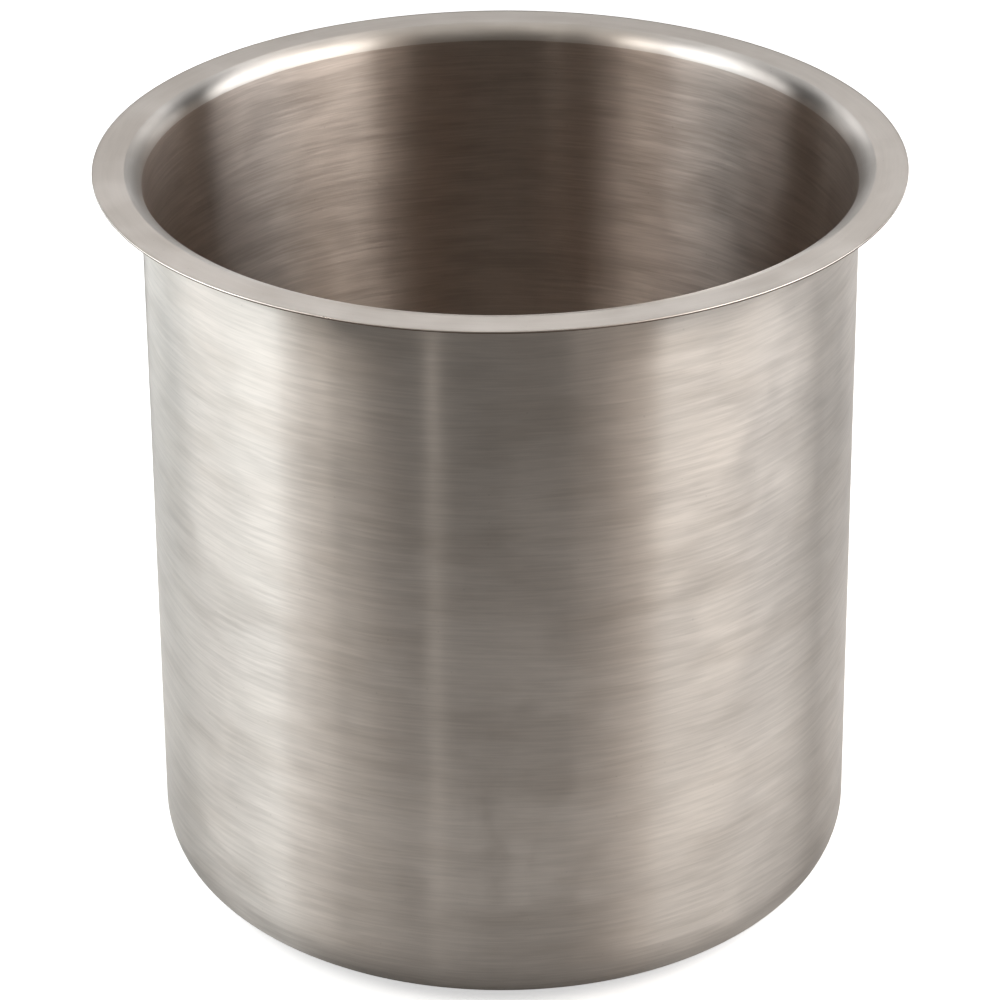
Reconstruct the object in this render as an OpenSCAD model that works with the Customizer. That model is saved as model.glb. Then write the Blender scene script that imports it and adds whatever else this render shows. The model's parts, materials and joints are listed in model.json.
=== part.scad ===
// Inner pot of a soup kettle: one drawn shell of stainless sheet, with a rolled mouth
// and a flat flange that hangs it in the kettle's well.
// Its axis is Z, and the origin is the centre of the base's underside.

/* [Pot] */
// Outside diameter of the straight wall
body_d = 233; // [180:1:260]
// Height from the underside of the base to the top of the flange
pot_h = 254; // [120:1:300]
// Thickness of the sheet
sheet = 0.8; // [0.6:0.1:1.2]

/* [Rim] */
// How far the flange stands out from the wall
rim_w = 15.5; // [10:0.5:25]
// Radius of the rolled mouth, on its upper face
mouth_r = 5.5; // [3:0.5:8]
// Rounding of the two corners on the flange's cut edge
edge_r = 0.25; // [0.1:0.05:0.25]

/* [Base] */
// Outside radius of the corner between the wall and the base
base_r = 22; // [8:1:40]

/* [Hidden] */
$fn = 180;
body_radius = body_d / 2;
bore_radius = body_radius - sheet;
flange_radius = body_radius + rim_w;
roll_radius = bore_radius + mouth_r; // where the rolled mouth meets the flat flange
roll_z = pot_h - mouth_r;            // where the rolled mouth meets the straight wall

// Half of a straight-sided pot shape with a round bottom corner, filled to the axis.
module pot_outline(radius, floor_z, corner) {
    translate([0, floor_z])
        square([radius - corner, corner]);
    translate([radius - corner, floor_z + corner])
        circle(corner);
    translate([0, floor_z + corner])
        square([radius, roll_z - floor_z - corner]);
}

// The base, its corner and the straight wall, one sheet thick.
module drawn_outline() {
    difference() {
        pot_outline(body_radius, 0, base_r);
        pot_outline(bore_radius, sheet, base_r - sheet);
    }
}

// A quarter turn of sheet, from the top of the wall out to the flat flange.
module mouth_outline() {
    intersection() {
        translate([roll_radius, roll_z])
            difference() {
                circle(mouth_r);
                circle(mouth_r - sheet);
            }
        translate([bore_radius, roll_z])
            square(mouth_r);
    }
}

// The flat flange, with both corners of its cut edge rounded over.
module flange_outline() {
    run = flange_radius - roll_radius;
    translate([roll_radius, pot_h - sheet]) {
        square([run - edge_r, sheet]);
        translate([0, edge_r])
            square([run, sheet - 2 * edge_r]);
        for (corner_z = [edge_r, sheet - edge_r])
            translate([run - edge_r, corner_z])
                circle(edge_r);
    }
}

// The whole pot is a single piece of metal, turned from its half section.
module kettle_pot() {
    color("silver")
        rotate_extrude()
            union() {
                drawn_outline();
                mouth_outline();
                flange_outline();
            }
}

kettle_pot();
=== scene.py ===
"""Looks for the inner pot of a soup kettle: one drawn shell of brushed stainless sheet.

The shell is one closed surface of revolution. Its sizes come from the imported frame, its finishes
are dressed zone by zone, and it stands on a plain pale floor under soft studio light.
"""

import json
import logging
import math
from dataclasses import dataclass
from enum import Enum

import bpy
import numpy as np
from mathutils import Matrix, Vector


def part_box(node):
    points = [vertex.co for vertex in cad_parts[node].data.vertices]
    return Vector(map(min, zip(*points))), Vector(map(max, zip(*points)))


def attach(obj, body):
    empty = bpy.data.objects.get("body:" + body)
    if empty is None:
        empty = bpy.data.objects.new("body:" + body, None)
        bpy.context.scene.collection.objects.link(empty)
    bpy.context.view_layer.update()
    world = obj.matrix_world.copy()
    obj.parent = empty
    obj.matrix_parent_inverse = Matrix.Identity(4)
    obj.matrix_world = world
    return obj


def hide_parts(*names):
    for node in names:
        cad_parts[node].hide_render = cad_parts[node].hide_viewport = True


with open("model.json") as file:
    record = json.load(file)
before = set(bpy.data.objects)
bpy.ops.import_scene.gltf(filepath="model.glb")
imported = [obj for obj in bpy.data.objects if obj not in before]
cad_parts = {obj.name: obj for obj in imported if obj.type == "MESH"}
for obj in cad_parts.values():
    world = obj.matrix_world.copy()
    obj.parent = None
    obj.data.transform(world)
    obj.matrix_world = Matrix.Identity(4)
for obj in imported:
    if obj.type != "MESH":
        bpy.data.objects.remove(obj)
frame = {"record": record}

LOG = logging.getLogger("kettle_pot")
MM = 0.001
Colour = tuple[float, float, float]
Outputs = bpy.types.bpy_prop_collection


# ---------------------------------------------------------------- node helpers


def new_node(tree: bpy.types.NodeTree, kind: str, **settings: object) -> bpy.types.Node:
    """Adds a node and sets its properties.

    Args:
        tree: node tree that gets the node.
        kind: the node's type name.
        settings: properties to set on the node.

    Returns:
        The new node.
    """
    node = tree.nodes.new(kind)
    for name, value in settings.items():
        setattr(node, name, value)
    return node


def plug(tree: bpy.types.NodeTree, value: object, socket: bpy.types.NodeSocket) -> None:
    """Links a socket into another, or sets it to a plain value.

    Args:
        tree: node tree that holds both sockets.
        value: an output socket, or a number, tuple or colour.
        socket: the input socket.
    """
    if isinstance(value, bpy.types.NodeSocket):
        tree.links.new(value, socket)
    else:
        socket.default_value = value


def maths(
    tree: bpy.types.NodeTree, operation: str, a: object, b: object = 0.0, c: object = 0.0
) -> bpy.types.NodeSocket:
    """Adds a Math node.

    Args:
        tree: node tree that gets the node.
        operation: the node's operation, such as MULTIPLY_ADD.
        a: first input, a socket or a number.
        b: second input.
        c: third input.

    Returns:
        The node's output socket.
    """
    node = new_node(tree, "ShaderNodeMath", operation=operation)
    for value, socket in zip((a, b, c), node.inputs):
        plug(tree, value, socket)
    return node.outputs[0]


def ramp(
    tree: bpy.types.NodeTree,
    value: object,
    low: float,
    high: float,
    to_low: float = 0.0,
    to_high: float = 1.0,
) -> bpy.types.NodeSocket:
    """Carries a value smoothly from one range to another, held at both ends.

    Args:
        tree: node tree that gets the node.
        value: socket to be carried over.
        low: value that gives to_low.
        high: value that gives to_high.
        to_low: lowest result.
        to_high: highest result.

    Returns:
        The result's socket.
    """
    node = new_node(tree, "ShaderNodeMapRange", interpolation_type="SMOOTHSTEP")
    for item, socket in zip((value, low, high, to_low, to_high), node.inputs):
        plug(tree, item, socket)
    return node.outputs[0]


def blend_colour(
    tree: bpy.types.NodeTree, share: object, a: object, b: object, mode: str = "MIX"
) -> bpy.types.NodeSocket:
    """Mixes two colours.

    Args:
        tree: node tree that gets the node.
        share: how much of b is taken, a socket or a number.
        a: first colour, a socket or four numbers.
        b: second colour.
        mode: the node's blend type.

    Returns:
        The mixed colour's socket.
    """
    node = new_node(tree, "ShaderNodeMix", data_type="RGBA", blend_type=mode)
    for value, socket in zip((share, a, b), (node.inputs[0], node.inputs[6], node.inputs[7])):
        plug(tree, value, socket)
    return node.outputs[2]


def grey(tree: bpy.types.NodeTree, value: bpy.types.NodeSocket) -> bpy.types.NodeSocket:
    """Makes a colour whose three parts are one value."""
    node = new_node(tree, "ShaderNodeCombineColor")
    for socket in node.inputs:
        plug(tree, value, socket)
    return node.outputs[0]


def stretched(
    tree: bpy.types.NodeTree, vector: object, around: object, along: object
) -> bpy.types.NodeSocket:
    """Scales a turning coordinate: its first two parts go round the pot, its third along the sheet.

    Args:
        tree: node tree that gets the nodes.
        vector: the turning coordinate.
        around: scale of the two parts that go round.
        along: scale of the part that runs along the sheet's section.

    Returns:
        The scaled coordinate's socket.
    """
    scale = new_node(tree, "ShaderNodeCombineXYZ")
    for value, socket in zip((around, around, along), scale.inputs):
        plug(tree, value, socket)
    node = new_node(tree, "ShaderNodeVectorMath", operation="MULTIPLY")
    plug(tree, vector, node.inputs[0])
    plug(tree, scale.outputs[0], node.inputs[1])
    return node.outputs[0]


def noise(
    tree: bpy.types.NodeTree, vector: object, detail: float = 2.0, rough: float = 0.5, warp: float = 0.0
) -> bpy.types.NodeSocket:
    """Adds fractal noise of unit scale.

    Args:
        tree: node tree that gets the node.
        vector: the coordinate, already scaled.
        detail: number of octaves.
        rough: weight of each octave beside the one before.
        warp: how much the noise bends its own coordinate.

    Returns:
        The noise value's socket.
    """
    node = new_node(tree, "ShaderNodeTexNoise", noise_dimensions="3D")
    plug(tree, vector, node.inputs["Vector"])
    node.inputs["Scale"].default_value = 1.0
    node.inputs["Detail"].default_value = detail
    node.inputs["Roughness"].default_value = rough
    node.inputs["Distortion"].default_value = warp
    return node.outputs["Fac"]


class Group:
    """A shader node group with named sockets. The material that places it gives every input."""

    def __init__(
        self, name: str, vectors: tuple[str, ...], values: tuple[str, ...], outputs: tuple[str, ...]
    ) -> None:
        """Makes the group with its sockets.

        Args:
            name: the group's name.
            vectors: the names of its vector inputs.
            values: the names of its plain inputs.
            outputs: the names of its outputs, all plain values.
        """
        self.tree = bpy.data.node_groups.new(name, "ShaderNodeTree")
        sockets = [(label, "INPUT", "NodeSocketVector") for label in vectors]
        sockets += [(label, "INPUT", "NodeSocketFloat") for label in values]
        sockets += [(label, "OUTPUT", "NodeSocketFloat") for label in outputs]
        for label, side, kind in sockets:
            self.tree.interface.new_socket(label, in_out=side, socket_type=kind)
        self.given = new_node(self.tree, "NodeGroupInput").outputs
        self.result = new_node(self.tree, "NodeGroupOutput").inputs

    def give(self, label: str, value: object) -> None:
        """Links a value to one of the group's outputs."""
        plug(self.tree, value, self.result[label])


def enlarged(tree: bpy.types.NodeTree, vector: object, size: float) -> bpy.types.NodeSocket:
    """Scales a coordinate evenly, so that one unit of it spans a given size.

    Args:
        tree: node tree that gets the node.
        vector: the coordinate, in metres.
        size: length that becomes one unit, in metres.

    Returns:
        The scaled coordinate's socket.
    """
    node = new_node(tree, "ShaderNodeVectorMath", operation="SCALE")
    plug(tree, vector, node.inputs[0])
    node.inputs["Scale"].default_value = 1.0 / size
    return node.outputs[0]


def place_group(
    tree: bpy.types.NodeTree, group: Group, **values: object
) -> Outputs:
    """Places a group in a material with its own values.

    Args:
        tree: the material's node tree.
        group: the group to place.
        values: inputs by name, with _ for a space.

    Returns:
        The placed group's outputs.
    """
    node = new_node(tree, "ShaderNodeGroup", node_tree=group.tree)
    for label, value in values.items():
        plug(tree, value, node.inputs[label.replace("_", " ")])
    return node.outputs


# ---------------------------------------------------------------- marks on the sheet

NOISE_MIDDLE = 0.5
# A spread is how finely a noise is drawn: round the pot, then along the section, per metre.
SWAY_SPREAD = (2.2, 16.0)
PRESSED_SPREAD = (3.0, 30.0)
SCRATCH_SPREAD = (1.6, 150.0)
SCRATCHED_SPREAD = (3.0, 40.0)
# Hairs and patches beside the streaks: round the pot, and for patches also along the section.
HAIR_TURNS = 2.5
PATCH_TURNS = 0.8
PATCH_FINENESS = 0.12
# A range is the stretch of a noise over which its mark goes from none to full.
PATCH_RANGE = (0.42, 0.72)
WORKED_RANGE = (0.36, 0.64)
SMUDGE_RANGE = (0.38, 0.66)
SCRATCHED_RANGE = (0.56, 0.68)
PITTED_RANGE = (0.80, 0.86)
PIT_CORE = (0.05, 0.11)
SCRATCH_WIDTH = 0.006
SMUDGE_SIZE = 0.03
PIT_SPACING = 0.004


def brush_group() -> Group:
    """Marks of an abrasive belt that ran round the pot.

    A slow noise sways the coordinate along the section, so the marks waver. Streaks, hairs and
    patches are noises stretched round the pot, each at its own length and width. Worked is a broad
    noise that says where the belt pressed harder.

    Returns:
        The group. Streaks, Hairs, Patches and Worked run from 0 to 1.
    """
    group = Group(
        "brush_marks",
        vectors=("Place",),
        values=("Sway", "Turns", "Streak Width", "Hair Width"),
        outputs=("Streaks", "Hairs", "Patches", "Worked"),
    )
    tree, given = group.tree, group.given
    sway = noise(tree, stretched(tree, given["Place"], *SWAY_SPREAD), detail=1.0)
    shift = maths(tree, "MULTIPLY", maths(tree, "SUBTRACT", sway, NOISE_MIDDLE), given["Sway"])
    lift = new_node(tree, "ShaderNodeCombineXYZ")
    plug(tree, shift, lift.inputs[2])
    moved = new_node(tree, "ShaderNodeVectorMath", operation="ADD")
    plug(tree, given["Place"], moved.inputs[0])
    plug(tree, lift.outputs[0], moved.inputs[1])
    place, turns = moved.outputs[0], given["Turns"]
    across = maths(tree, "DIVIDE", 1.0, given["Streak Width"])
    fine = maths(tree, "DIVIDE", 1.0, given["Hair Width"])
    group.give("Streaks", noise(tree, stretched(tree, place, turns, across), detail=3.0, rough=0.6))
    short = maths(tree, "MULTIPLY", turns, HAIR_TURNS)
    group.give("Hairs", noise(tree, stretched(tree, place, short, fine), detail=2.0, rough=0.6))
    wide = maths(tree, "MULTIPLY", across, PATCH_FINENESS)
    slow = maths(tree, "MULTIPLY", turns, PATCH_TURNS)
    patches = noise(tree, stretched(tree, place, slow, wide), detail=2.0)
    group.give("Patches", ramp(tree, patches, *PATCH_RANGE))
    pressed = noise(tree, stretched(tree, place, *PRESSED_SPREAD), detail=2.0, rough=0.55)
    group.give("Worked", ramp(tree, pressed, *WORKED_RANGE))
    return group


def handling_group() -> Group:
    """Cloudy smudges, fine scratches and small pits left by polishing and handling.

    Smudges are soft noise in the pot's own space. Scratches are the thin level set of a stretched
    noise, kept where a second noise is high. Pits are the cores of scattered cells.

    Returns:
        The group. Smudges, Scratches and Pits run from 0 to 1.
    """
    group = Group(
        "handling_marks",
        vectors=("Place", "Position"),
        values=(),
        outputs=("Smudges", "Scratches", "Pits"),
    )
    tree, given = group.tree, group.given
    clouds = noise(tree, enlarged(tree, given["Position"], SMUDGE_SIZE), detail=3.0, rough=0.55, warp=0.4)
    group.give("Smudges", ramp(tree, clouds, *SMUDGE_RANGE))
    lines = noise(tree, stretched(tree, given["Place"], *SCRATCH_SPREAD), detail=1.0, warp=0.6)
    off_line = maths(tree, "ABSOLUTE", maths(tree, "SUBTRACT", lines, NOISE_MIDDLE))
    line = ramp(tree, off_line, 0.0, SCRATCH_WIDTH, 1.0, 0.0)
    scratched = noise(tree, stretched(tree, given["Place"], *SCRATCHED_SPREAD), detail=2.0)
    group.give("Scratches", maths(tree, "MULTIPLY", line, ramp(tree, scratched, *SCRATCHED_RANGE)))
    cells = new_node(tree, "ShaderNodeTexVoronoi", feature="F1", distance="EUCLIDEAN")
    plug(tree, enlarged(tree, given["Position"], PIT_SPACING), cells.inputs["Vector"])
    cells.inputs["Scale"].default_value = 1.0
    core = ramp(tree, cells.outputs["Distance"], *PIT_CORE, 1.0, 0.0)
    chosen = new_node(tree, "ShaderNodeSeparateColor")
    plug(tree, cells.outputs["Color"], chosen.inputs[0])
    group.give("Pits", maths(tree, "MULTIPLY", core, ramp(tree, chosen.outputs[0], *PITTED_RANGE)))
    return group


# ---------------------------------------------------------------- finishes


class Zone(Enum):
    """Stretches of the shell that are finished differently. The value is the material's place."""

    OUTER_WALL = 0
    UNDERSIDE = 1
    FLANGE = 2
    CUT_EDGE = 3
    TORN_EDGE = 4
    MOUTH = 5
    INNER_WALL = 6


# How the marks weigh on colour and height.
SMUDGE_STAIN = 0.25
PATCH_STAIN = 0.6
MARK_RANGE = (0.3, 0.7)
HAIR_HEIGHT = 0.8
UNWORKED_HEIGHT = 0.3
SCRATCH_HEIGHT = 0.3
# A quarter turn lays the stretched highlights across the marks.
GRAIN_TURN = 0.25


@dataclass(frozen=True)
class SteelFinish:
    """One finish of the stainless sheet.

    Attributes:
        name: the material's name.
        roughness: roughness between the marks.
        clean: base colour of bright metal.
        stained: base colour under smudges and in the patches between brush marks.
        anisotropy: how far highlights are drawn out across the grain.
        contrast: how much streaks change the base colour. Hairs change it by half of that.
        streaks: how much streaks change roughness.
        smudges: how much smudges change roughness.
        grain: depth of the marks, in metres.
        turns: how finely marks are drawn round the pot.
        streak_width: width of a streak, in metres.
        hair_width: width of a hair line, in metres.
        sway: how far the marks waver, in metres.
        pits: how dark the pits are.
    """

    name: str
    roughness: float
    clean: Colour = (0.635, 0.585, 0.54)
    stained: Colour = (0.54, 0.49, 0.445)
    anisotropy: float = 1.0
    contrast: float = 0.06
    streaks: float = 0.06
    smudges: float = 0.05
    grain: float = 0.00004
    turns: float = 4.0
    streak_width: float = 0.0012
    hair_width: float = 0.0006
    sway: float = 0.004
    pits: float = 0.1

    def material(self, brush: Group, handling: Group) -> bpy.types.Material:
        """Builds the finish as a material.

        Args:
            brush: the shared brush marks.
            handling: the shared handling marks.

        Returns:
            The material.
        """
        made = bpy.data.materials.new(self.name)
        made.use_nodes = True
        tree = made.node_tree
        tree.nodes.clear()
        shader = new_node(tree, "ShaderNodeBsdfPrincipled")
        shader.inputs["Metallic"].default_value = 1.0
        shader.inputs["Anisotropic"].default_value = self.anisotropy
        shader.inputs["Anisotropic Rotation"].default_value = GRAIN_TURN
        place = new_node(tree, "ShaderNodeAttribute", attribute_name="turning").outputs["Vector"]
        position = new_node(tree, "ShaderNodeTexCoord").outputs["Object"]
        marks = place_group(
            tree,
            brush,
            Place=place,
            Sway=self.sway,
            Turns=self.turns,
            Streak_Width=self.streak_width,
            Hair_Width=self.hair_width,
        )
        worn = place_group(tree, handling, Place=place, Position=position)
        plug(tree, self._colour(tree, marks, worn), shader.inputs["Base Color"])
        plug(tree, self._roughness(tree, marks, worn), shader.inputs["Roughness"])
        bump = new_node(tree, "ShaderNodeBump")
        bump.inputs["Strength"].default_value = 1.0
        bump.inputs["Distance"].default_value = self.grain
        plug(tree, self._height(tree, marks, worn), bump.inputs["Height"])
        plug(tree, bump.outputs[0], shader.inputs["Normal"])
        tangent = new_node(tree, "ShaderNodeTangent", direction_type="UV_MAP", uv_map="sheet")
        plug(tree, tangent.outputs[0], shader.inputs["Tangent"])
        output = new_node(tree, "ShaderNodeOutputMaterial")
        plug(tree, shader.outputs[0], output.inputs["Surface"])
        return made

    def _colour(self, tree: bpy.types.NodeTree, marks: Outputs, worn: Outputs) -> bpy.types.NodeSocket:
        """Stains the metal under smudges and patches, then lights and darkens it by the marks.

        Args:
            tree: the material's node tree.
            marks: the brush marks' outputs.
            worn: the handling marks' outputs.

        Returns:
            The base colour's socket.
        """
        cloud = maths(tree, "MULTIPLY", worn["Smudges"], SMUDGE_STAIN)
        shade = maths(tree, "MULTIPLY_ADD", marks["Patches"], PATCH_STAIN, cloud)
        colour = blend_colour(tree, shade, (*self.clean, 1.0), (*self.stained, 1.0))
        spread = self.contrast
        bright = ramp(tree, marks["Streaks"], *MARK_RANGE, 1.0 - spread, 1.0 + spread)
        finer = ramp(tree, marks["Hairs"], *MARK_RANGE, 1.0 - spread / 2, 1.0 + spread / 2)
        bright = maths(tree, "MULTIPLY", bright, finer)
        bright = maths(tree, "SUBTRACT", bright, maths(tree, "MULTIPLY", worn["Pits"], self.pits))
        return blend_colour(tree, 1.0, colour, grey(tree, bright), "MULTIPLY")

    def _roughness(self, tree: bpy.types.NodeTree, marks: Outputs, worn: Outputs) -> bpy.types.NodeSocket:
        """Roughens the metal by streaks and smudges about its own roughness.

        Args:
            tree: the material's node tree.
            marks: the brush marks' outputs.
            worn: the handling marks' outputs.

        Returns:
            The roughness's socket.
        """
        lines = maths(tree, "SUBTRACT", marks["Streaks"], NOISE_MIDDLE)
        rough = maths(tree, "MULTIPLY_ADD", lines, self.streaks, self.roughness)
        cloudy = maths(tree, "SUBTRACT", worn["Smudges"], NOISE_MIDDLE)
        return maths(tree, "MULTIPLY_ADD", cloudy, self.smudges, rough)

    @staticmethod
    def _height(tree: bpy.types.NodeTree, marks: Outputs, worn: Outputs) -> bpy.types.NodeSocket:
        """Raises streaks and hairs where the belt pressed, and sinks scratches.

        Args:
            tree: the material's node tree.
            marks: the brush marks' outputs.
            worn: the handling marks' outputs.

        Returns:
            The height's socket, in units of grain.
        """
        height = maths(tree, "MULTIPLY_ADD", marks["Hairs"], HAIR_HEIGHT, marks["Streaks"])
        worked = maths(tree, "MULTIPLY_ADD", marks["Worked"], 1.0 - UNWORKED_HEIGHT, UNWORKED_HEIGHT)
        height = maths(tree, "MULTIPLY", height, worked)
        return maths(tree, "SUBTRACT", height, maths(tree, "MULTIPLY", worn["Scratches"], SCRATCH_HEIGHT))


FINISHES = {
    Zone.OUTER_WALL: SteelFinish("steel_outer_wall", roughness=0.35),
    Zone.UNDERSIDE: SteelFinish("steel_underside", roughness=0.36),
    Zone.FLANGE: SteelFinish("steel_flange", roughness=0.36, anisotropy=0.0, contrast=0.02, grain=0.000012),
    Zone.CUT_EDGE: SteelFinish("steel_cut_edge", roughness=0.3, anisotropy=0.0, grain=0.000008),
    # Partly real and partly painted shade: the torn part of the cut edge is rough, and its near-black brown
    # stands in for the shadow line under the flange's edge.
    Zone.TORN_EDGE: SteelFinish(
        "steel_torn_edge_and_shade", clean=(0.22, 0.17, 0.14), stained=(0.12, 0.09, 0.07), roughness=0.6, anisotropy=0.0
    ),
    Zone.MOUTH: SteelFinish(
        "steel_mouth",
        clean=(0.66, 0.625, 0.59),
        stained=(0.56, 0.52, 0.48),
        roughness=0.38,
        contrast=0.02,
        grain=0.000012,
    ),
    # Painted shade: the inner wall is the same sheet as the outer wall, but its colours are darker and
    # browner. They stand in for the shade inside the pot and the warm light that bounces there.
    Zone.INNER_WALL: SteelFinish(
        "steel_inner_wall_shaded",
        clean=(0.5, 0.435, 0.39),
        stained=(0.4, 0.345, 0.305),
        roughness=0.33,
        contrast=0.08,
    ),
}


# ---------------------------------------------------------------- the shell


@dataclass(frozen=True)
class Wave:
    """One slow sine in the sheet's unevenness.

    Attributes:
        share: its size beside the whole unevenness.
        turns: number of whole waves round the pot.
        climb: how far it slides from the base to the rim, in radians.
        phase: where it starts, in radians.
    """

    share: float
    turns: int
    climb: float
    phase: float

    def at(self, angle: np.ndarray, up: np.ndarray) -> np.ndarray:
        """Gives share * sin(turns * angle + climb * up + phase)."""
        return self.share * np.sin(self.turns * angle + self.climb * up + self.phase)


WALL_WAVES = (Wave(0.5, 5, 7.0, 0.6), Wave(0.3, 11, -11.0, 2.1), Wave(0.2, 19, 16.0, 4.0))
FLANGE_WAVES = (Wave(0.3, 3, 0.0, 0.9), Wave(0.2, 7, 0.0, 2.4))


@dataclass
class Shell:
    """The drawn shell: base, wall, rolled mouth and flange in one closed surface of revolution.

    Attributes:
        node: CAD node that the shell stands for.
        wall_radius: outer radius of the straight wall.
        flange_radius: outer radius of the flange.
        height: from the base's underside to the flange's top.
        sheet: thickness of the sheet.
        base_radius: outer radius of the base's corner, in section.
        mouth_radius: radius of the rolled mouth's upper face, in section.
        edge_radius: rounding of the cut edge's corners.
        flare: how far the wall has sprung out where it meets the roll.
        flare_reach: depth over which the wall straightens, to 1/e.
        cut_share: how much of the cut edge is bright, from the top. The rest is torn, and its dark
        colour is partly a rough torn face and partly painted shade under the flange's edge.
        wall_stray: how far the wall's unevenness goes either way, at most.
        flange_dip: how far the flange dips at its edge, at most.
        fade_in: share of the height over which unevenness grows above the base.
        fade_out: share of the height over which it dies away below the rim.
        around: number of faces round the pot.
        wall_steps: number of faces up the straight wall.
    """

    node: str
    wall_radius: float
    flange_radius: float
    height: float
    sheet: float
    base_radius: float
    mouth_radius: float
    edge_radius: float = 0.25 * MM
    flare: float = 0.4 * MM
    flare_reach: float = 4.5 * MM
    cut_share: float = 0.45
    wall_stray: float = 0.05 * MM
    flange_dip: float = 0.12 * MM
    fade_in: float = 0.12
    fade_out: float = 0.03
    around: int = 384
    wall_steps: int = 60

    @classmethod
    def from_frame(cls, node: str) -> "Shell":
        """Reads the shell's sizes from the CAD node's box and the record's mounts.

        Args:
            node: CAD node that the shell stands for.

        Returns:
            The shell, not yet built.
        """
        mounts = {mount["name"]: mount for mount in frame["record"]["mounts"]}
        low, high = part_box(node)
        straight = mounts["well_fit"]
        wall_radius = straight["dims"]["r_mm"] * MM
        half_wall = straight["dims"]["length_mm"] * MM / 2
        middle = straight["pos_m"][2]
        return cls(
            node=node,
            wall_radius=wall_radius,
            flange_radius=min(high.x, high.y, -low.x, -low.y),
            height=high.z,
            sheet=high.z - mounts["rim_seat"]["pos_m"][2],
            base_radius=middle - half_wall,
            mouth_radius=high.z - (middle + half_wall),
        )

    def profile(self) -> tuple[np.ndarray, np.ndarray, np.ndarray]:
        """Works out the closed half section, from the underside's centre round to the floor's centre.

        Straight stretches are even steps between two points, and bends are arcs given by their
        centre, radius and first and last angle: point = centre + radius * (cos angle, sin angle).

        Returns:
            Points as (radius, height) rows, the path length at each point, and the zone of the
            stretch that ends at each point.
        """
        sheet, top = self.sheet, self.height
        bore = self.wall_radius - sheet
        corner = self.wall_radius - self.base_radius
        tilt = math.atan(self.flare / self.flare_reach)
        roll = bore + self.flare + self.mouth_radius * math.cos(tilt)
        roll_z = top - self.mouth_radius
        edge = self.edge_radius
        rim = self.flange_radius
        quarter = math.pi / 2

        def straight(a: tuple[float, float], b: tuple[float, float], steps: int) -> np.ndarray:
            """Gives steps even points after a, up to and with b."""
            share = np.arange(1, steps + 1)[:, None] / steps
            return np.asarray(a) + share * (np.asarray(b) - np.asarray(a))

        def bend(
            centre: tuple[float, float], radius: float, first: float, last: float, steps: int
        ) -> np.ndarray:
            """Gives steps even points of an arc after its first angle, up to and with its last."""
            angle = first + np.arange(1, steps + 1) / steps * (last - first)
            return np.asarray(centre) + radius * np.column_stack((np.cos(angle), np.sin(angle)))

        def wall(radius: float, steps: int) -> np.ndarray:
            """Gives the wall below the roll: radius + flare * exp(-depth / reach), finer at the top."""
            start = roll_z + (roll - radius - self.flare) * math.tan(tilt)
            depth = (start - self.base_radius) * (np.arange(steps + 1) / steps) ** 2
            return np.column_stack((radius + self.flare * np.exp(-depth / self.flare_reach), start - depth))

        outer, inner = wall(self.wall_radius, self.wall_steps), wall(bore, self.wall_steps)
        land = top - self.cut_share * sheet
        # Each stretch's last number is its count of steps.
        stretches = [
            (Zone.UNDERSIDE, straight((0.0, 0.0), (corner, 0.0), 24)),
            (Zone.OUTER_WALL, bend((corner, self.base_radius), self.base_radius, -quarter, 0.0, 18)),
            (Zone.OUTER_WALL, outer[-2::-1]),
            (
                Zone.OUTER_WALL,
                bend((roll, roll_z), self.mouth_radius - sheet, 2 * quarter - tilt, quarter, 10),
            ),
            (Zone.FLANGE, straight((roll, top - sheet), (rim - edge, top - sheet), 6)),
            (Zone.TORN_EDGE, bend((rim - edge, top - sheet + edge), edge, -quarter, 0.0, 4)),
            (Zone.TORN_EDGE, straight((rim, top - sheet + edge), (rim, land), 1)),
            (Zone.CUT_EDGE, straight((rim, land), (rim, top - edge), 1)),
            (Zone.CUT_EDGE, bend((rim - edge, top - edge), edge, 0.0, quarter, 4)),
            (Zone.FLANGE, straight((rim - edge, top), (roll, top), 8)),
            (Zone.MOUTH, bend((roll, roll_z), self.mouth_radius, quarter, 2 * quarter - tilt, 16)),
            (Zone.INNER_WALL, inner[1:]),
            (Zone.INNER_WALL, bend((corner, self.base_radius), self.base_radius - sheet, 0.0, -quarter, 16)),
            (Zone.INNER_WALL, straight((corner, sheet), (0.0, sheet), 18)),
        ]
        points = np.vstack([np.zeros((1, 2))] + [line for _, line in stretches])
        # The first point ends no stretch, so its zone is never read.
        zones = np.concatenate([[0]] + [np.full(len(line), zone.value) for zone, line in stretches])
        length = np.concatenate([[0.0], np.cumsum(np.linalg.norm(np.diff(points, axis=0), axis=1))])
        return points, length, zones

    def unevenness(
        self, angle: np.ndarray, radius: np.ndarray, height: np.ndarray
    ) -> tuple[np.ndarray, np.ndarray]:
        """Works out how far the drawn sheet strays from the true shape.

        The wall's radius is the true one plus three slow waves, which fade out at the base and at the
        rim. The flange dips by two waves of its own, more towards its edge, and never rises above its
        true plane.

        Args:
            angle: angle round the axis of each point.
            radius: true radius of each point.
            height: true height of each point.

        Returns:
            Added radius and added height of each point.
        """
        up = height / self.height
        on_wall = np.clip(up / self.fade_in, 0.0, 1.0) * np.clip((1.0 - up) / self.fade_out, 0.0, 1.0)
        out = self.wall_stray * on_wall * sum(wave.at(angle, up) for wave in WALL_WAVES)
        beyond = np.clip((radius - self.wall_radius) / (self.flange_radius - self.wall_radius), 0.0, 1.0)
        # Half a dip, plus waves whose shares add up to the other half, stays between none and full.
        dip = sum((wave.at(angle, up) for wave in FLANGE_WAVES), start=0.5)
        return out, -self.flange_dip * beyond * dip

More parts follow.
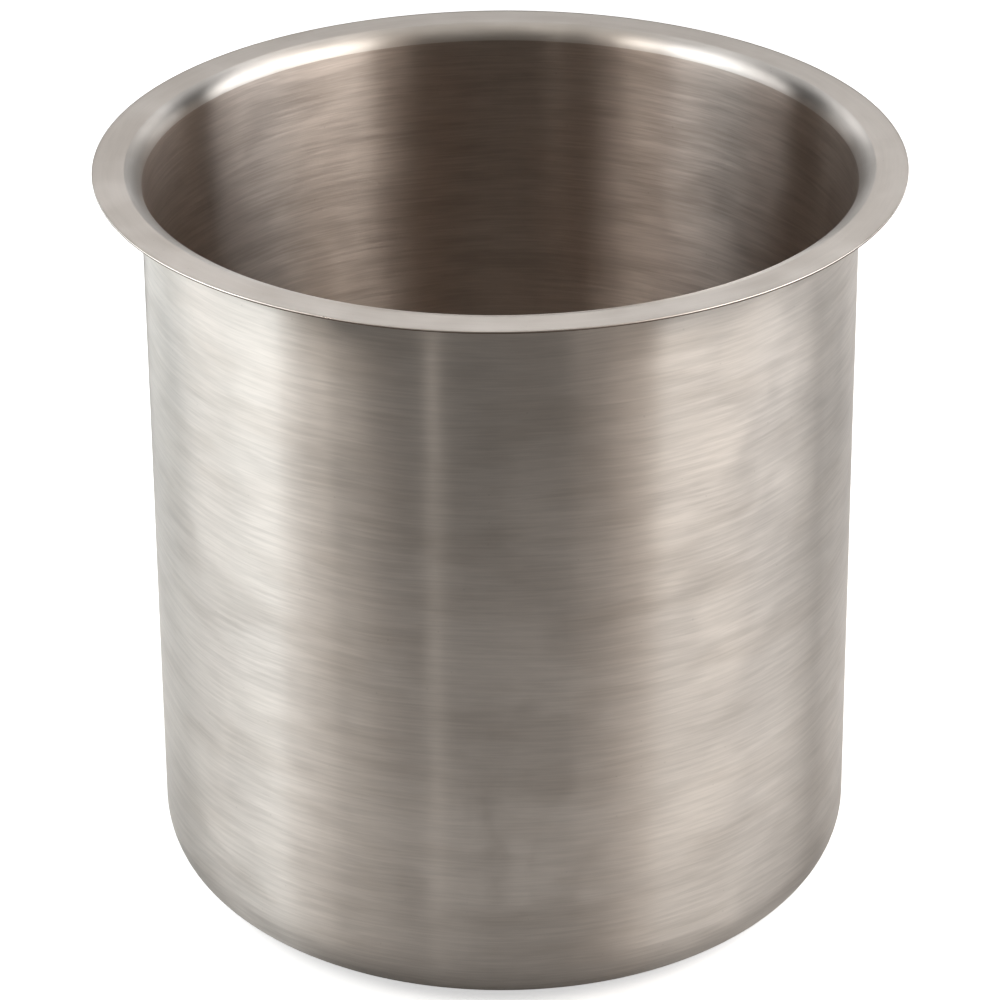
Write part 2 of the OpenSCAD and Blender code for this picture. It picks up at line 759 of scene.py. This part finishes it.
    def build(self) -> bpy.types.Object:
        """Builds the shell: the section carried round the axis, closed by one point at each pole.

        Returns:
            The new object, at the origin.
        """
        points, length, zones = self.profile()
        rings = points[1:-1]
        count = len(rings)
        angle = np.arange(self.around) / self.around * 2 * math.pi
        grid_angle, radius = np.meshgrid(angle, rings[:, 0])
        height = np.broadcast_to(rings[:, 1][:, None], radius.shape)
        out, lift = self.unevenness(grid_angle, radius, height)
        swept = radius + out
        body = np.stack((swept * np.sin(grid_angle), -swept * np.cos(grid_angle), height + lift), axis=2)
        poles = np.array([[0.0, 0.0, points[0, 1]], [0.0, 0.0, points[-1, 1]]])
        vertices = np.vstack((body.reshape(-1, 3), poles))
        ring, step = np.meshgrid(np.arange(count - 1), np.arange(self.around), indexing="ij")
        after = (step + 1) % self.around
        a, b = ring * self.around + step, ring * self.around + after
        quads = np.stack((a, b, b + self.around, a + self.around), axis=2).reshape(-1, 4)
        here = np.arange(self.around)
        there = (here + 1) % self.around
        last = (count - 1) * self.around
        foot = np.column_stack((np.full(self.around, len(vertices) - 2), there, here))
        head = np.column_stack((np.full(self.around, len(vertices) - 1), last + here, last + there))
        mesh = bpy.data.meshes.new("kettle_pot_shell")
        mesh.from_pydata(vertices.tolist(), [], quads.tolist() + foot.tolist() + head.tolist())
        self._dress_faces(mesh, zones, count)
        self._write_places(mesh, length, count)
        mesh.update()
        made = bpy.data.objects.new("kettle_pot_shell", mesh)
        bpy.context.scene.collection.objects.link(made)
        return made

    def _dress_faces(self, mesh: bpy.types.Mesh, zones: np.ndarray, count: int) -> None:
        """Gives each face its zone's material and smooth shading.

        Args:
            mesh: the shell's mesh.
            zones: zone of the stretch that ends at each section point.
            count: number of rings.
        """
        slots = np.concatenate((
            np.repeat(zones[2 : count + 1], self.around),
            np.full(self.around, zones[1]),
            np.full(self.around, zones[-1]),
        ))
        mesh.polygons.foreach_set("material_index", slots.astype(np.int32))
        mesh.polygons.foreach_set("use_smooth", np.ones(len(mesh.polygons), bool))

    def _write_places(self, mesh: bpy.types.Mesh, length: np.ndarray, count: int) -> None:
        """Writes the sheet's own coordinates.

        The UV map is (turn, path length over wall height). The attribute turning is (sine, cosine,
        path length), which meets itself round the pot with no seam.

        Args:
            mesh: the shell's mesh.
            length: path length at each section point.
            count: number of rings.
        """
        corners = np.empty(len(mesh.loops), np.int32)
        mesh.loops.foreach_get("vertex_index", corners)
        starts = np.empty(len(mesh.polygons), np.int32)
        totals = np.empty(len(mesh.polygons), np.int32)
        mesh.polygons.foreach_get("loop_start", starts)
        mesh.polygons.foreach_get("loop_total", totals)
        face = np.repeat(np.arange(len(starts)), totals)
        poles = corners >= count * self.around
        step = np.where(poles, -1, corners % self.around)
        # A face that spans the seam has a corner on step 0 that stands for the last step plus one.
        highest = np.full(len(starts), -1)
        np.maximum.at(highest, face, step)
        wrapped = (step == 0) & (highest[face] > 1)
        turn = np.where(wrapped, self.around, step) / self.around
        last = self.around - 1
        middle = np.where(highest[face] == last, last + 0.5, highest[face] - 0.5)
        turn = np.where(poles, middle / self.around, turn)
        ring = np.minimum(corners // self.around, count - 1) + 1
        ring = np.where(corners == count * self.around, 0, ring)
        ring = np.where(corners == count * self.around + 1, len(length) - 1, ring)
        layer = mesh.uv_layers.new(name="sheet")
        sheet = np.column_stack((turn, length[ring] / self.height))
        layer.data.foreach_set("uv", sheet.astype(np.float32).ravel())
        angle = np.tile(np.arange(self.around) / self.around * 2 * math.pi, count)
        along = np.repeat(length[1:-1], self.around)
        turning = np.column_stack((np.sin(angle), np.cos(angle), along))
        turning = np.vstack((turning, [[0.0, 0.0, length[0]], [0.0, 0.0, length[-1]]]))
        places = mesh.attributes.new("turning", "FLOAT_VECTOR", "POINT")
        places.data.foreach_set("vector", turning.astype(np.float32).ravel())

    def dress(self, made: bpy.types.Object, brush: Group, handling: Group) -> None:
        """Gives the shell a material for each zone, in the zones' order.

        Args:
            made: the shell's object.
            brush: the shared brush marks.
            handling: the shared handling marks.
        """
        for zone in Zone:
            made.data.materials.append(FINISHES[zone].material(brush, handling))

    def mount(self, made: bpy.types.Object) -> None:
        """Puts the shell in the CAD node's place, on the one body there is."""
        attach(made, "root")
        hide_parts(self.node)


# ---------------------------------------------------------------- studio


@dataclass(frozen=True)
class Lamp:
    """A soft rectangular lamp.

    Attributes:
        name: the lamp's name.
        glow: brightness of its face, whatever the face's size.
        colour: its light's colour.
    """

    name: str
    glow: float
    colour: Colour

    def hang(self, place: Vector, away: Vector, width: float, height: float) -> bpy.types.Object:
        """Hangs the lamp.

        Args:
            place: middle of its face.
            away: direction from the pot to the lamp. The face looks the other way.
            width: the face's width.
            height: the face's height.

        Returns:
            The lamp's object.
        """
        lamp = bpy.data.lights.new(self.name, "AREA")
        lamp.shape = "RECTANGLE"
        lamp.size, lamp.size_y = width, height
        lamp.energy = self.glow * math.pi * width * height
        lamp.color = self.colour
        made = bpy.data.objects.new(self.name, lamp)
        made.location = place
        made.rotation_euler = away.to_track_quat("Z", "Y").to_euler()
        made.visible_camera = False
        bpy.context.scene.collection.objects.link(made)
        return made


@dataclass(frozen=True)
class Panel(Lamp):
    """A soft panel that stands upright on a ring round the pot.

    Attributes:
        first: azimuth of its left edge, in degrees. 0 is the camera's side and 90 is its right.
        last: azimuth of its right edge, in degrees.
        foot: height of its lower edge, in metres.
        head: height of its upper edge, in metres.
        ring: radius of the ring, in metres.
    """

    first: float
    last: float
    foot: float
    head: float
    ring: float = 0.9

    def build(self) -> bpy.types.Object:
        """Stands the panel up, facing the pot's axis."""
        middle = math.radians(self.first + self.last) / 2
        away = Vector((math.sin(middle), -math.cos(middle), 0.0))
        place = away * self.ring + Vector((0.0, 0.0, (self.foot + self.head) / 2))
        width = 2 * self.ring * math.tan(math.radians(self.last - self.first) / 2)
        return self.hang(place, away, width, self.head - self.foot)


@dataclass(frozen=True)
class Overhead(Lamp):
    """A square soft lamp above the pot, facing its rim.

    Attributes:
        azimuth: direction from the pot, in degrees.
        elevation: height of that direction, in degrees.
        size: side of its face, in metres.
        distance: distance from the rim's middle, in metres.
        rim: height of the rim, in metres.
    """

    azimuth: float
    elevation: float
    size: float = 0.5
    distance: float = 1.1
    rim: float = 0.25

    def build(self) -> bpy.types.Object:
        """Hangs the lamp above the pot."""
        a, e = math.radians(self.azimuth), math.radians(self.elevation)
        away = Vector((math.sin(a) * math.cos(e), -math.cos(a) * math.cos(e), math.sin(e)))
        return self.hang(away * self.distance + Vector((0.0, 0.0, self.rim)), away, self.size, self.size)


@dataclass(frozen=True)
class Floor:
    """A plain pale floor, paler to the camera than to any other ray.

    The camera sees an even near white: the colour seen plus the emission lift. Every other ray, such as
    one that the pot mirrors, sees a darker grey without emission. It rises from foot to open as
    the distance from the pot's axis goes through rising, so the dark grey at the foot is a painted
    shadow round the pot. It is then multiplied by a share that falls from 1 to far as the distance
    goes through falling, which paints the light fading away from the pot. No single real floor does
    both. It is made so to keep the ground pale while the wall mirrors a dimmer one.

    Attributes:
        half: half of its side, in metres.
        seen: grey that the camera sees.
        lift: emission that the camera sees.
        foot: grey that other rays see at the pot's foot, a painted shadow.
        open: grey that other rays would see further out, before it falls off.
        far: share of that grey that is left far away, where the fading of the light is painted.
        rising: distances between which the grey rises, in metres.
        falling: distances between which it falls off, in metres.
        roughness: the surface's roughness.
    """

    half: float = 6.0
    seen: float = 0.9
    lift: float = 0.55
    foot: float = 0.25
    open: float = 0.62
    far: float = 0.18
    rising: tuple[float, float] = (0.12, 0.21)
    falling: tuple[float, float] = (0.2, 0.5)
    roughness: float = 0.9

    def build(self) -> None:
        """Lays the floor at the base's height."""
        mesh = bpy.data.meshes.new("floor")
        signs = ((-1, -1), (1, -1), (1, 1), (-1, 1))
        mesh.from_pydata([(self.half * x, self.half * y, 0.0) for x, y in signs], [], [(0, 1, 2, 3)])
        mesh.materials.append(self._material())
        floor = bpy.data.objects.new("floor", mesh)
        bpy.context.scene.collection.objects.link(floor)

    def _material(self) -> bpy.types.Material:
        """Builds the floor's material, with its two shades split by the kind of ray."""
        made = bpy.data.materials.new("floor_white")
        made.use_nodes = True
        tree = made.node_tree
        shader = tree.nodes["Principled BSDF"]
        shader.inputs["Roughness"].default_value = self.roughness
        shader.inputs["Specular IOR Level"].default_value = 0.0
        shader.inputs["Emission Color"].default_value = (1.0, 1.0, 1.0, 1.0)
        by_camera = new_node(tree, "ShaderNodeLightPath").outputs["Is Camera Ray"]
        length = new_node(tree, "ShaderNodeVectorMath", operation="LENGTH")
        plug(tree, new_node(tree, "ShaderNodeTexCoord").outputs["Object"], length.inputs[0])
        reach = length.outputs["Value"]
        # Painted shadow: rays other than the camera's see the floor darker at the pot's foot.
        near = ramp(tree, reach, *self.rising, self.foot, self.open)
        # Painted fading of the light: further out, that grey falls to the share far.
        dim = maths(tree, "MULTIPLY", near, ramp(tree, reach, *self.falling, 1.0, self.far))
        shade = blend_colour(tree, by_camera, grey(tree, dim), (self.seen, self.seen, self.seen, 1.0))
        plug(tree, shade, shader.inputs["Base Color"])
        plug(tree, maths(tree, "MULTIPLY", by_camera, self.lift), shader.inputs["Emission Strength"])
        return made


@dataclass
class Studio:
    """The floor, the lamps, the room's own light and the camera.

    Attributes:
        aim: point on the pot's axis that the camera faces.
        lamps: the soft lamps.
        floor: the floor.
        room_colour: colour of the room's even light.
        room_strength: strength of the room's even light.
        elevation: the camera's height above the horizon, in degrees.
        distance: from the camera to the aim point, in metres.
        roll: how far the camera is turned about its own line of sight, in degrees.
        lens: focal length, in millimetres.
        sensor: the sensor's width, in millimetres.
        shift: how far the frame is shifted, as shares of its width.
        clip: nearest and furthest distance that the camera sees, in metres.
    """

    aim: Vector
    lamps: tuple[Lamp, ...]
    floor: Floor = Floor()
    room_colour: Colour = (1.0, 0.98, 0.95)
    room_strength: float = 0.03
    elevation: float = 27.25
    distance: float = 1.5804
    roll: float = -0.386
    lens: float = 169.24
    sensor: float = 36.0
    shift: tuple[float, float] = (-0.00245, 0.00709)
    clip: tuple[float, float] = (0.05, 50.0)

    def build(self) -> None:
        """Sets up the whole studio."""
        self.floor.build()
        for lamp in self.lamps:
            lamp.build()
        self._room()
        self._camera()
        bpy.context.scene.view_settings.view_transform = "Standard"

    def _room(self) -> None:
        """Gives the room its faint even light."""
        world = bpy.data.worlds.new("room")
        world.use_nodes = True
        background = world.node_tree.nodes["Background"]
        background.inputs["Color"].default_value = (*self.room_colour, 1.0)
        background.inputs["Strength"].default_value = self.room_strength
        bpy.context.scene.world = world

    def _camera(self) -> None:
        """Sets the camera in front of the pot, looking down on it."""
        data = bpy.data.cameras.new("camera")
        data.lens, data.sensor_width = self.lens, self.sensor
        data.shift_x, data.shift_y = self.shift
        data.clip_start, data.clip_end = self.clip
        camera = bpy.data.objects.new("camera", data)
        e, r = math.radians(self.elevation), math.radians(self.roll)
        back = Vector((0.0, -math.cos(e), math.sin(e)))
        right, up = Vector((1.0, 0.0, 0.0)), Vector((0.0, math.sin(e), math.cos(e)))
        side = right * math.cos(r) + up * math.sin(r)
        top = up * math.cos(r) - right * math.sin(r)
        turn = Matrix((side, top, back)).transposed()
        camera.matrix_world = Matrix.Translation(self.aim + back * self.distance) @ turn.to_4x4()
        bpy.context.scene.collection.objects.link(camera)
        bpy.context.scene.camera = camera


NEUTRAL = (1.0, 1.0, 1.0)
WARM = (1.0, 0.94, 0.87)
COOL = (0.92, 0.98, 1.0)
AMBER = (1.0, 0.86, 0.76)
# The panels above the rim's height or beside it, the low ones, one thin strip, the backdrop's panels
# and the lamps overhead.
LAMPS = (
    Panel("core_left", 5.6, WARM, -60, -46, 0.65, 1.3),
    Panel("edge_left_high", 4.8, NEUTRAL, -92, -60, 0.65, 1.3),
    Panel("edge_left", 3.2, COOL, -92, -61, 0.27, 0.65),
    Panel("side_left", 2.4, NEUTRAL, -111, -92, 0.27, 1.3),
    Panel("feather_left", 1.0, AMBER, -46, -34, 0.65, 1.3),
    Panel("core_right", 5.6, WARM, 46, 85, 0.6, 1.3),
    Panel("core_right_low", 4.2, NEUTRAL, 46, 85, 0.27, 0.6),
    Panel("side_right", 4.3, NEUTRAL, 85, 111, 0.27, 1.3),
    Panel("feather_right", 0.8, AMBER, 32, 46, 0.27, 1.3),
    Panel("low_left_edge", 3.3, COOL, -90, -67, 0.0, 0.27),
    Panel("low_left", 3.8, COOL, -111, -90, 0.0, 0.27),
    Panel("low_left_feather", 1.3, WARM, -67, -50, 0.0, 0.27),
    Panel("low_left_back", 3.8, COOL, -140, -111, 0.0, 0.27),
    Panel("low_left_rear", 1.2, COOL, -170, -140, 0.0, 0.27),
    Panel("low_front", 0.12, AMBER, -45, 0, 0.0, 0.27),
    Panel("low_front_right", 0.2, AMBER, 0, 20, 0.0, 0.27),
    Panel("low_right", 0.6, AMBER, 20, 45, 0.0, 0.27),
    Panel("low_right_side", 0.4, NEUTRAL, 78, 111, 0.0, 0.27),
    Panel("low_right_back", 2.1, NEUTRAL, 111, 155, 0.0, 0.27),
    Panel("strip", 1.4, WARM, -20.5, -18.5, 0.0, 0.9),
    Panel("backdrop", 0.3, NEUTRAL, 155, 205, 0.45, 0.65),
    Panel("backdrop_high", 1.7, NEUTRAL, 155, 205, 0.65, 0.9),
    Panel("backdrop_right", 1.0, NEUTRAL, 128, 150, 0.27, 0.6),
    Panel("backdrop_left", 0.6, NEUTRAL, -150, -133, 0.27, 0.6),
    Overhead("overhead_front", 0.2, WARM, 0, 58, 0.7),
    Overhead("overhead", 1.4, WARM, 0, 89.5, 0.7),
    Overhead("overhead_back", 0.5, NEUTRAL, 180, 58, 0.7),
)


def main() -> None:
    """Builds the shell and the studio."""
    logging.basicConfig(level=logging.INFO, format="%(name)s: %(message)s")
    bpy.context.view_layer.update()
    brush, handling = brush_group(), handling_group()
    shell = Shell.from_frame("kettle_pot")
    made = shell.build()
    shell.dress(made, brush, handling)
    shell.mount(made)
    LOG.info("%s: %d faces, %d materials", made.name, len(made.data.polygons), len(made.data.materials))
    Studio(Vector((0.0, 0.0, shell.height / 2)), LAMPS).build()


if __name__ == "__main__":
    main()
